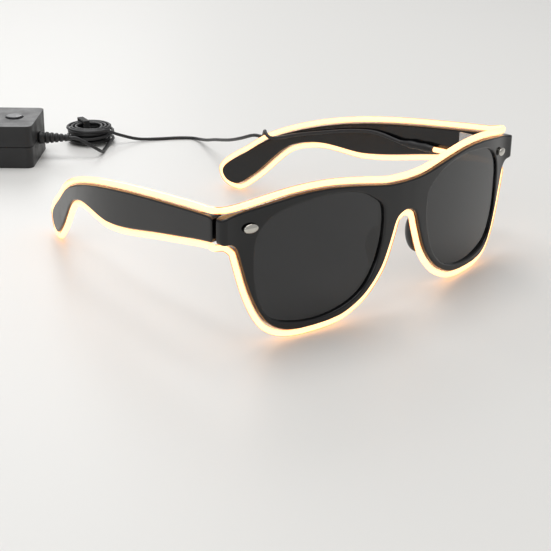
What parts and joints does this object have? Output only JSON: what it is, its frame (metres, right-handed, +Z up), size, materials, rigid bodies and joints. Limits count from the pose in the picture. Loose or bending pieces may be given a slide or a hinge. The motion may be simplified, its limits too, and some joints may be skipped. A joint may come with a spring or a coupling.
{
  "type": "light up party glasses",
  "caption": "Dark sunglasses edged by a glowing wire, with folding arms and a pocket battery pack on a thin coiled lead.",
  "frame": {"origin": "on the table, under the middle of the bounding box of everything but the free lead", "axes": "+Z up; +Y from the lenses towards the arms' tips and the pack; +X towards the wearer's left arm, which carries the lead"},
  "size_m": [0.1585, 0.303, 0.0504],
  "materials": {
    "black_gloss": "polished",
    "lens_grey": "polished",
    "steel": "satin",
    "nickel": "polished",
    "glow": "lit from within",
    "shrink": "matte",
    "lead_pvc": "satin",
    "pack_plastic": "satin",
    "button_plastic": "satin",
    "cell_wrap": "film sleeve",
    "board_green": "satin",
    "epoxy": "matte",
    "ferrite": "matte",
    "copper": "enamelled",
    "film_red": "glossy",
    "can_blue": "film sleeve"
  },
  "bodies": {
    "front": {"front_frame": "black_gloss", "lens_left": "lens_grey", "lens_right": "lens_grey", "front_hinge_left": "steel", "front_hinge_right": "steel", "hinge_screw_left": "steel", "hinge_screw_right": "steel", "front_stud_left": "nickel", "front_stud_right": "nickel", "el_wire_front_top": "glow", "el_wire_front_bottom": "glow", "el_wire_corner_top_left": "glow", "el_wire_corner_top_right": "glow", "el_wire_corner_bottom_right": "glow", "el_wire_feed_bend": "glow", "lead_to_coil": "lead_pvc", "lead_coil": "lead_pvc", "lead_to_pack": "lead_pvc", "coil_tie": "shrink", "pack_base": "pack_plastic", "pack_cover": "pack_plastic", "case_screw_1": "steel", "case_screw_2": "steel", "case_screw_3": "steel", "case_screw_4": "steel", "cell_1": "cell_wrap", "cell_2": "cell_wrap", "contact_bridge": "nickel", "contact_plate_1": "nickel", "contact_plate_2": "nickel", "spring_contact_1": "nickel", "spring_contact_2": "nickel", "inverter_board": "board_green", "tact_switch": "epoxy", "transformer_core": "ferrite", "transformer_winding": "copper", "film_capacitor": "film_red", "electrolytic_capacitor": "can_blue", "driver_transistor": "epoxy", "strain_relief": "lead_pvc"},
    "temple_left": {"temple_left": "black_gloss", "temple_hinge_left": "steel", "el_wire_temple_left": "glow", "el_wire_end_cap": "shrink", "el_wire_feed_end": "glow", "splice_sleeve": "shrink", "lead_on_temple": "lead_pvc"},
    "temple_right": {"temple_right": "black_gloss", "temple_hinge_right": "steel", "el_wire_temple_right": "glow"},
    "mode_button": {"mode_button": "button_plastic"},
    "battery_door": {"battery_door": "pack_plastic"}
  },
  "joints": [
    {"name": "hinge_left", "type": "hinge", "parent": "front", "child": "temple_left", "pos_m": [0.06606, -0.13333, 0.0399], "axis": [0, 0, 1], "range_deg": [0, 75], "deforming": ["el_wire_corner_top_left", "el_wire_feed_bend", "lead_to_coil"]},
    {"name": "hinge_right", "type": "hinge", "parent": "front", "child": "temple_right", "pos_m": [-0.06606, -0.13333, 0.0399], "axis": [0, 0, -1], "range_deg": [0, 82], "deforming": ["el_wire_corner_top_right", "el_wire_corner_bottom_right"]},
    {"name": "button_press", "type": "slide", "parent": "front", "child": "mode_button", "axis": [0, 0, -1], "range_m": [0, 0.0005], "stiffness_N_per_m": 300},
    {"name": "door_slide", "type": "slide", "parent": "front", "child": "battery_door", "axis": [-0.7157, 0.6984, 0], "range_m": [0, 0.045]}
  ]
}
